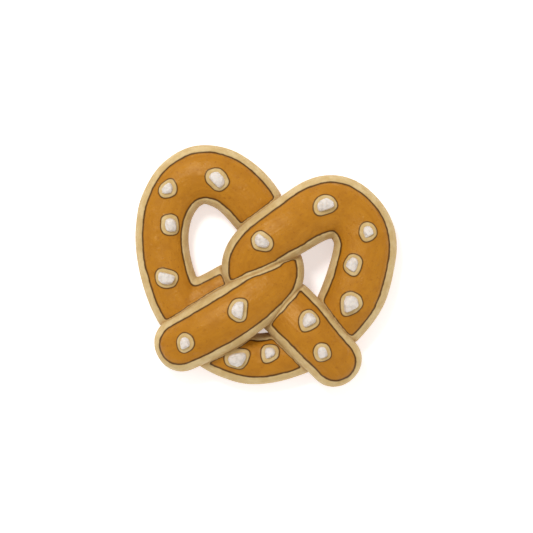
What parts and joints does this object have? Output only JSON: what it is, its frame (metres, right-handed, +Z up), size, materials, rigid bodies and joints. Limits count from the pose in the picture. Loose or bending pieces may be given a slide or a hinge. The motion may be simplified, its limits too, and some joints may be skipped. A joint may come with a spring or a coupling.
{
  "type": "soft pretzel",
  "caption": "Soft pretzel: a rope of dough looped, twisted and fused, its ends laid over the bottom, baked golden brown and strewn with coarse salt.",
  "frame": {"origin": "on the tray, under the middle of the pretzel's outline", "axes": "+Z up from the tray, +Y towards the two loops, -Y towards the free ends, +X to the right as seen from above"},
  "size_m": [0.1086, 0.1002, 0.0302],
  "materials": {
    "crust": "thin satin lye crust, golden brown on top and paler tan on the flanks and in the seams",
    "salt": "coarse off-white salt nuggets, slightly translucent"
  },
  "bodies": {
    "root": {"pretzel": "crust"}
  },
  "joints": []
}
